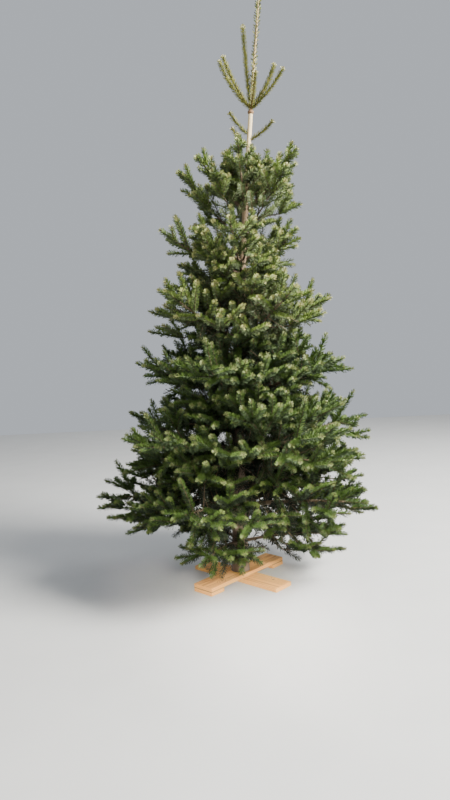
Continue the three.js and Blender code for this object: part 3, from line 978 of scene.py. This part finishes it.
def grown_mesh(name, source, tree, values):
    """Run a tree on the source object and keep the result as a plain mesh object."""
    modifier = source.modifiers.new("grow", "NODES")
    modifier.node_group = tree
    for item in tree.interface.items_tree:
        if item.in_out == "INPUT" and item.name in values:
            modifier[item.identifier] = values[item.name]
    evaluated = source.evaluated_get(bpy.context.evaluated_depsgraph_get())
    mesh = bpy.data.meshes.new_from_object(evaluated)
    source.modifiers.remove(modifier)
    mesh.name = name
    return add_object(name, mesh)


# %% Sweep the stems
TWIG_SIDES = 4
TWIG_TONES = ((0.075, 0.048, 0.028), (0.23, 0.15, 0.085))


def stem_tree():
    tree, graph, inputs = new_tree("stems along lines", {"Sides": TWIG_SIDES})
    curve = graph.add("GeometryNodeMeshToCurve", None, {0: inputs["Geometry"]})
    radius = graph.add("GeometryNodeInputNamedAttribute", None, {"Name": "radius"})
    ring = graph.add("GeometryNodeCurvePrimitiveCircle", None, {"Resolution": inputs["Sides"], "Radius": 1.0})
    values = {"Curve": curve, "Profile Curve": ring, "Scale": radius, "Fill Caps": True}
    swept = graph.add("GeometryNodeCurveToMesh", None, values)
    end_tree(graph, swept, inputs["Finish"])
    return tree


def stem_finish(name, dark, light):
    material, graph = new_material(name)
    mottle = graph.mottle(60.0)
    colour = graph.blend(mottle, dark, light)
    finish_material(graph, Base_Color=colour, Roughness=0.68 + mottle * 0.15)
    return material


stem_points = [one.points for one in stems]
stem_radii = [radius for one in stems for radius in one.radii]
stem_lines = line_object("stem_lines", stem_points, radius=stem_radii)
twig_values = {"Sides": TWIG_SIDES, "Finish": stem_finish("twig_bark", *TWIG_TONES)}
twigs = grown_mesh("twigs", stem_lines, stem_tree(), twig_values)
twigs.data.shade_smooth()
bpy.data.objects.remove(stem_lines)
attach(twigs, "root")
print("twigs:", len(twigs.data.polygons), "faces")

# %% [markdown]
# ## Needles
# A fir needle is a flat strap with a blunt end, about as long as the last joint of a finger. On each shoot
# the needles leave the stem in a spiral. They point forwards, more so towards the tip, and on the underside
# they part to the left and right. A strap of two triangles, a little narrower at its foot, has that outline,
# and one tree of Geometry Nodes puts a strap on every point of every shoot. Each strap is twisted a little
# at random, so that some face the eye from any side. The tree's inputs choose which needles of a shoot it
# makes, so that the old ones, dark with age and painted shade, the fresh ones, the undersides, darker with
# painted shade, and the light tips can each have their own finish.

# %% Sizes of the needles
# From and To are shares of the shoot, Lowest and Highest say how far up a needle of it points, and Cap is
# how many degrees closer to the shoot the last needles lie
NEEDLE_SIZES = {
    "Spacing": 0.0010,
    "Length": 0.029,
    "Width": 0.0065,
    "Lean at foot": 56.0,
    "Lean at tip": 48.0,
    "Cap": 0.0,
    "Parting": 0.25,
    "Shorter from": 0.80,
    "Twist": 0.8,
    "From": 0.0,
    "To": 1.0,
    "Lowest": -1.0,
    "Highest": 1.0,
    "Seed": 3,
}
GOLDEN_ANGLE = 2.399963
ROLL_JITTER = 0.5
LEAN_JITTER = 6.0
SIZE_JITTER = (0.90, 1.05)

# The parting below the shoot fades out between these slopes of it
STEEP_SHOOT = (0.35, 0.75)

# Where the last needles lie closer and where the first ones are smaller, as shares of the shoot
CAP_ZONE = (0.80, 1.0)
FOOT_ZONE = (0.0, 0.12)
FOOT_SIZE = 0.7
TIP_SIZE = 0.60
STRAP_FOOT = 0.55
STRAP_TIP = 0.85


# %% The tree that sets needles
def needle_tree():
    tree, graph, inputs = new_tree("needles along shoots", NEEDLE_SIZES)
    curve = graph.add("GeometryNodeMeshToCurve", None, {0: inputs["Geometry"]})
    spaced = {"Curve": curve, "Length": inputs["Spacing"]}
    curve = graph.add("GeometryNodeResampleCurve", {"mode": "LENGTH"}, spaced)
    share = graph.add("GeometryNodeSplineParameter", None, None, "Factor")
    index = graph.add("GeometryNodeInputIndex")
    along = graph.add("GeometryNodeInputTangent")

    def jitter(low, high, shift):
        values = {2: low, 3: high, "ID": index, "Seed": inputs["Seed"] + shift}
        return graph.add("FunctionNodeRandomValue", {"data_type": "FLOAT"}, values, 1)

    # Round the shoot: level is across it, upright square to both
    level = graph.apply_vector("NORMALIZE", graph.apply_vector("CROSS_PRODUCT", UP, along))
    upright = graph.apply_vector("CROSS_PRODUCT", along, level)
    roll = index * GOLDEN_ANGLE + jitter(-ROLL_JITTER, ROLL_JITTER, 1)
    sideways = graph.apply("COSINE", roll)
    lift = graph.apply("SINE", roll)
    steep = graph.smooth(graph.apply("ABSOLUTE", graph.height_of(along)), *STEEP_SHOOT)
    parted = lift * (1 - (lift < 0.0) * (1 - inputs["Parting"]) * (1 - steep))
    out = graph.apply_vector("NORMALIZE", level * sideways + upright * parted)

    # Away from the shoot: the needle leans off it by an angle that changes towards the tip
    lean = inputs["Lean at foot"] + (inputs["Lean at tip"] - inputs["Lean at foot"]) * share
    lean = lean - inputs["Cap"] * graph.smooth(share, *CAP_ZONE)
    lean = (lean + jitter(-LEAN_JITTER, LEAN_JITTER, 2)) * (pi / 180)
    way = along * graph.apply("COSINE", lean) + out * graph.apply("SINE", lean)
    flat = graph.apply_vector("NORMALIZE", graph.apply_vector("CROSS_PRODUCT", way, along))
    face = graph.apply_vector("CROSS_PRODUCT", flat, way)
    twist = jitter(-1.0, 1.0, 4) * inputs["Twist"]
    flat = flat * graph.apply("COSINE", twist) + face * graph.apply("SINE", twist)
    axes = {"primary_axis": "Y", "secondary_axis": "X"}
    turn = graph.add("FunctionNodeAxesToRotation", axes, {0: way, 1: flat})

    # The strap itself, with its foot on the point that it stands on
    size = jitter(*SIZE_JITTER, 3) * graph.smooth(share, *FOOT_ZONE, FOOT_SIZE, 1.0)
    size = size * graph.smooth(share, inputs["Shorter from"], 1.0, 1.0, TIP_SIZE)
    outline = {
        "Height": inputs["Length"],
        "Bottom Width": inputs["Width"] * STRAP_FOOT,
        "Top Width": inputs["Width"] * STRAP_TIP,
        "Offset": 0.0,
    }
    strap = graph.add("GeometryNodeCurvePrimitiveQuadrilateral", {"mode": "TRAPEZOID"}, outline)
    blade = graph.add("GeometryNodeFillCurve", {"mode": "NGONS"}, {0: strap})
    foot = graph.add("ShaderNodeCombineXYZ", None, {1: inputs["Length"] * 0.5})
    blade = graph.add("GeometryNodeTransform", None, {"Geometry": blade, "Translation": foot})

    # How far up a needle points; the runs give the downward needles the under green, darker as painted shade
    facing = lift * graph.height_of(upright)
    chosen = (share > inputs["From"]) * (share < inputs["To"])
    chosen = chosen * (facing > inputs["Lowest"]) * (facing < inputs["Highest"])
    values = {"Points": curve, "Selection": chosen, "Instance": blade, "Rotation": turn, "Scale": size}
    end_tree(graph, graph.add("GeometryNodeInstanceOnPoints", None, values), inputs["Finish"])
    return tree


needle_rule = needle_tree()
print("needle tree with", len(needle_rule.nodes), "nodes")


# %% [markdown]
# ## Greens of the needles
# Fir needles are dark and a little glossy above, with two pale bands below. The newest ones are yellower.
# Each finish is one plain green with a faint change from place to place, and the greens are dealt out by
# shoot, so no picture of a tree is painted on anything. Some greens hold painted shade: the under green is
# bluer for the pale bands but darker as painted shade, the greens of old and inner shoots are darker, and
# each layer of the crown has its own tone of painted light and shade.

# %% Needle finishes
# Each green goes from a dark tone to a light one, and has its own roughness. The under green is bluer than
# the fresh one for the pale bands and darker as painted shade, and old and middle are darker both for age
# and as painted shade
GREENS = {
    "old": ((0.009, 0.016, 0.004), (0.018, 0.030, 0.008), 0.60),
    "middle": ((0.022, 0.040, 0.007), (0.043, 0.071, 0.014), 0.55),
    "fresh": ((0.044, 0.082, 0.011), (0.088, 0.146, 0.022), 0.50),
    "under": ((0.024, 0.042, 0.011), (0.044, 0.070, 0.021), 0.62),
    "tip": ((0.080, 0.110, 0.022), (0.155, 0.190, 0.050), 0.50),
    "olive": ((0.120, 0.130, 0.025), (0.250, 0.245, 0.052), 0.50),
    "pale": ((0.360, 0.360, 0.190), (0.560, 0.540, 0.330), 0.55),
}
INNER_GREENS = ("old", "middle", "under")

# Each layer changes all its greens by a tone of painted light and shade, lighter in the upper crown and
# darker in the lower, and the inner greens also by one number
LAYER_LIGHT_AND_SHADE = {
    "top": ((1.15, 1.15, 1.15), 1.0),
    "upper": ((2.50, 2.04, 2.85), 1.25),
    "middle": ((1.48, 1.42, 1.80), 1.25),
    "lower": ((0.92, 1.00, 0.86), 0.50),
}


def needle_finish(layer, name):
    """The finish for one green in one layer of the crown, with that layer's painted light and shade, made
    when it is first asked for.
    """
    label = f"needle_{layer}_{name}"
    if label in bpy.data.materials:
        return bpy.data.materials[label]
    *greens, roughness = GREENS[name]
    tone, inner = LAYER_LIGHT_AND_SHADE[layer]
    share = inner if name in INNER_GREENS else 1.0
    dark, light = (tuple(share * part * by for part, by in zip(green, tone)) for green in greens)
    material, graph = new_material(label)
    change = graph.mottle(14.0)
    colour = graph.blend(graph.smooth(change, 0.3, 0.7), dark, light)
    finish_material(graph, Base_Color=colour, Roughness=roughness + change * 0.12)
    return material


print(len(GREENS), "greens for", len(LAYER_LIGHT_AND_SHADE), "layers")

# %% [markdown]
# ## Needles on every mass
# The shoots are sorted by age and by layer of the crown. Each kind is run through the needle tree, once for
# each finish that it shows.

# %% Grow the needles by layer
# The whorls of each layer
LAYERS = {"upper": ("2", "3", "4"), "middle": ("5", "6"), "lower": ("7", "8")}
# Needles pointing further down than this take the under green, which is darker as painted shade
UNDER_LIMIT = -0.25
TIP_START = 0.86

# Each kind of shoot is run once for each green that it shows, with sizes that differ from the others
KINDS = {
    "old": [("old", {"Spacing": 0.0034, "Width": 0.0072, "Length": 0.030, "Lean at tip": 60.0})],
    "middle": [
        ("middle", {"Spacing": 0.0015, "Width": 0.0051, "Lowest": UNDER_LIMIT, "Lean at tip": 56.0}),
        ("under", {"Spacing": 0.0015, "Width": 0.0051, "Highest": UNDER_LIMIT, "Lean at tip": 56.0}),
    ],
    "fresh": [
        ("fresh", {"Lowest": UNDER_LIMIT, "To": TIP_START}),
        ("under", {"Highest": UNDER_LIMIT, "To": TIP_START}),
        ("tip", {"From": TIP_START}),
    ],
}


def kind_of(shoot):
    return "fresh" if shoot.age == 0 else ("middle" if shoot.age == 1 else "old")


def join_objects(name, parts):
    if len(parts) > 1:
        with bpy.context.temp_override(active_object=parts[0], selected_editable_objects=parts):
            bpy.ops.object.join()
    parts[0].name = name
    parts[0].data.name = name
    return parts[0]


total = 0
for layer, names in LAYERS.items():
    replaced = [node for node in cad_nodes if node.startswith("foliage_") and node[8] in names]
    made = {}
    for kind, runs in KINDS.items():
        lines = [one.points for one in shoots if kind_of(one) == kind and one.bough.whorl.name in names]
        if not lines:
            continue
        source = line_object("shoot_lines", lines)
        for green, values in runs:
            settings = {**NEEDLE_SIZES, **values, "Finish": needle_finish(layer, green)}
            made.setdefault(green, []).append(grown_mesh("needles", source, needle_rule, settings))
        bpy.data.objects.remove(source)
    for green, parts in made.items():
        piece = join_objects(f"needles_{layer}_{green}", parts)
        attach(piece, "root")
        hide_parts(*replaced)
        faces = len(piece.data.polygons)
        total += 2 * faces
        print(piece.name, 2 * faces, "triangles")
print("needles in all:", total, "triangles")

# %% [markdown]
# ## Buds
# Every fresh shoot ends in a small brown bud with shorter needles round it. A bud is a stretched ball of
# fifteen faces, set on the last point of each fresh shoot.


# %% Buds on the fresh shoots
BUD_SIZES = {"Length": 0.008, "Width": 0.0051}
BUD_SIDES = 5
BUD_RINGS = 3
BUD_AHEAD = 0.4
BUD_TONES = ((0.060, 0.040, 0.016), (0.130, 0.085, 0.034))


def bud_tree():
    tree, graph, inputs = new_tree("buds at the ends", BUD_SIZES)
    curve = graph.add("GeometryNodeMeshToCurve", None, {0: inputs["Geometry"]})
    last = graph.add("GeometryNodeCurveEndpointSelection", None, {"Start Size": 0, "End Size": 1})
    along = graph.add("GeometryNodeInputTangent")
    turn = graph.add("FunctionNodeAlignRotationToVector", {"axis": "Z"}, {"Vector": along})
    round_ball = {"Segments": BUD_SIDES, "Rings": BUD_RINGS, "Radius": 0.5}
    ball = graph.add("GeometryNodeMeshUVSphere", None, round_ball, 0)
    wide = inputs["Width"]
    size = graph.add("ShaderNodeCombineXYZ", None, {0: wide, 1: wide, 2: inputs["Length"]})
    ahead = graph.add("ShaderNodeCombineXYZ", None, {2: inputs["Length"] * BUD_AHEAD})
    bud = graph.add("GeometryNodeTransform", None, {"Geometry": ball, "Translation": ahead, "Scale": size})
    values = {"Points": curve, "Selection": last, "Instance": bud, "Rotation": turn}
    end_tree(graph, graph.add("GeometryNodeInstanceOnPoints", None, values), inputs["Finish"])
    return tree


bud_rule = bud_tree()
bud_finish = stem_finish("bud_scales", *BUD_TONES)
bud_source = line_object("bud_lines", [one.points for one in shoots if one.age == 0])
buds = grown_mesh("buds", bud_source, bud_rule, {**BUD_SIZES, "Finish": bud_finish})
bpy.data.objects.remove(bud_source)
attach(buds, "root")
print("buds:", len(buds.data.polygons), "faces")

# %% [markdown]
# ## The top of the tree
# Above the last whorl the tree has only its leader, a tan stem with sparse needles, and a crown of steep
# shoots round its foot. Three short shoots stand on the bare pale trunk just below.
# The lines come first, and then the same tools as before: tubes for the wood, straps for the needles.

# %% Lines of the leader and the top shoots
# Each shoot: the way it points round the trunk, how far it leans out, both in degrees, and its length
TOP_SHOOTS = [
    (200, 30, 0.340),
    (151, 31, 0.400),
    (125, 5, 0.520),
    (36, 33, 0.380),
    (-19, 46, 0.295),
    (-80, 45, 0.215),
]
# The side shoots have their height on the trunk first
SIDE_SHOOTS = {
    "side_shoot_left": (2.798, 174, 39, 0.180),
    "side_shoot_right": (2.762, -4, 54, 0.185),
    "side_shoot_low": (2.720, 210, 48, 0.150),
}
SHOOT_ROOT = 0.021
SHOOT_BOW = 0.42
SHOOT_STEPS = 6
LEADER_STEPS = 12


def direction_of(turn, tilt):
    turn, tilt = radians(turn), radians(tilt)
    lean = sin(tilt)
    return Vector((lean * cos(turn), lean * sin(turn), cos(tilt)))


def shoot_line(root, turn, tilt, length):
    run = direction_of(turn, tilt)
    outward = Vector((run.x, run.y, 0))
    points = []
    for i in range(SHOOT_STEPS + 1):
        share = i / SHOOT_STEPS
        bow = SHOOT_BOW * length * share * (1 - share)
        points.append(root + run * (length * share) + outward * bow)
    return points


def tapered(start, end, steps):
    return [start + (end - start) * i / steps for i in range(steps + 1)]


whorl_foot = trunk_axis(TRUNK_TOP + SHOOT_ROOT)
shoot_lines = [shoot_line(whorl_foot, *row) for row in TOP_SHOOTS]
shoot_lines += [shoot_line(trunk_axis(height), *row) for height, *row in SIDE_SHOOTS.values()]
leader_line = [trunk_axis(height) for height in tapered(TRUNK_TOP, LEADER_TOP, LEADER_STEPS)]
print(len(shoot_lines), "shoots at the top, leader of", round(LEADER_TOP - TRUNK_TOP, 2), "m")

# %% Wood of the leader and the top shoots
LEADER_RADIUS = 0.0095
LEADER_TIP_RADIUS = 0.006
LEADER_SIDES = 12
LEADER_LOW_TONES = ((0.34, 0.25, 0.10), (0.56, 0.44, 0.22))
LEADER_HIGH_TONES = ((0.19, 0.135, 0.055), (0.33, 0.25, 0.12))
LEADER_TONE_HEIGHTS = (3.05, 3.45)
SHOOT_RADIUS = 0.0040
SHOOT_TIP_RADIUS = 0.0022
SHOOT_SIDES = 8
SHOOT_TONES = ((0.10, 0.045, 0.020), (0.26, 0.15, 0.07))

# The shoots leave the trunk from a swollen collar
COLLAR_RADIUS = 0.019
COLLAR_EDGE_RADIUS = 0.010
COLLAR_HEIGHT = 0.026
COLLAR_BELOW = 0.35
COLLAR_STEPS = 8
COLLAR_SIDES = 16


def leader_finish():
    material, graph = new_material("leader_bark")
    height = graph.height_of(graph.object_place())
    mottle = graph.mottle(60.0)
    low = graph.blend(mottle, *LEADER_LOW_TONES)
    high = graph.blend(mottle, *LEADER_HIGH_TONES)
    colour = graph.blend(graph.smooth(height, *LEADER_TONE_HEIGHTS), low, high)
    finish_material(graph, Base_Color=colour, Roughness=0.66 + mottle * 0.15)
    return material


def add_collar(parts):
    line = []
    radii = []
    for i in range(COLLAR_STEPS + 1):
        share = i / COLLAR_STEPS
        line.append(trunk_axis(TRUNK_TOP + COLLAR_HEIGHT * (share - COLLAR_BELOW)))
        bulge = sin(pi * share) ** 0.5
        radii.append(COLLAR_EDGE_RADIUS + (COLLAR_RADIUS - COLLAR_EDGE_RADIUS) * bulge)
    parts.add_tube(line, radii, COLLAR_SIDES, limb_relief)


leader_wood = MeshParts()
leader_radii = tapered(LEADER_RADIUS, LEADER_TIP_RADIUS, LEADER_STEPS)
leader_wood.add_tube(leader_line, leader_radii, LEADER_SIDES, limb_relief)
leader = leader_wood.as_object("leader", leader_finish())

shoot_wood = MeshParts()
add_collar(shoot_wood)
shoot_radii = tapered(SHOOT_RADIUS, SHOOT_TIP_RADIUS, SHOOT_STEPS)
for line in shoot_lines:
    shoot_wood.add_tube(line, shoot_radii, SHOOT_SIDES, limb_relief)
top_stems = shoot_wood.as_object("top_stems", stem_finish("young_bark", *SHOOT_TONES))
print("wood of the top:", len(leader_wood.faces) + len(shoot_wood.faces), "faces")

# %% Needles and buds of the top
TOP_SIZES = {**NEEDLE_SIZES, "Parting": 0.15, "Shorter from": 0.95}
TOP_BUD_SIZES = {"Length": 0.014, "Width": 0.011}

# Each run: the lines that it follows, the green, and how its needles differ from the others
TOP_RUNS = [
    ("shoots", "middle", {"Spacing": 0.0016, "Length": 0.013, "Width": 0.0050, "Lean at foot": 50.0}),
    ("shoots", "olive", {"Spacing": 0.0009, "Length": 0.025, "Width": 0.0048, "To": 0.95, "Twist": 0.4}),
    ("shoots", "pale", {"From": 0.95, "Spacing": 0.0006, "Length": 0.024, "Width": 0.0075, "Cap": -8.0}),
    ("leader", "olive", {"Spacing": 0.0034, "Length": 0.029, "Width": 0.0060, "Parting": 1.0, "Twist": 1.5}),
    ("leader", "middle", {"Spacing": 0.0039, "Length": 0.027, "Width": 0.0060, "Parting": 1.0, "Twist": 1.5}),
]

sources = {
    "shoots": line_object("top_lines", shoot_lines),
    "leader": line_object("leader_line", [leader_line]),
}
made = {}
for source, green, values in TOP_RUNS:
    settings = {**TOP_SIZES, **values, "Finish": needle_finish("top", green)}
    made.setdefault(green, []).append(grown_mesh("needles", sources[source], needle_rule, settings))
    print(source, green, len(made[green][-1].data.polygons), "needles")
top_needles = [join_objects(f"needles_top_{green}", parts) for green, parts in made.items()]

bud_values = {**TOP_BUD_SIZES, "Finish": bud_finish}
bud_parts = [grown_mesh("buds", source, bud_rule, bud_values) for source in sources.values()]
top_buds = join_objects("buds_top", bud_parts)
for source in sources.values():
    bpy.data.objects.remove(source)
for pieces, slot in ((top_needles, "top_foliage"), ((leader, top_stems, top_buds), "bark")):
    for piece in pieces:
        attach(piece, "root")
        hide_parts("foliage_top", *SIDE_SHOOTS)

# %% [markdown]
# The dressed tree has to keep to the box of the construction model, but for the ends of its needles.
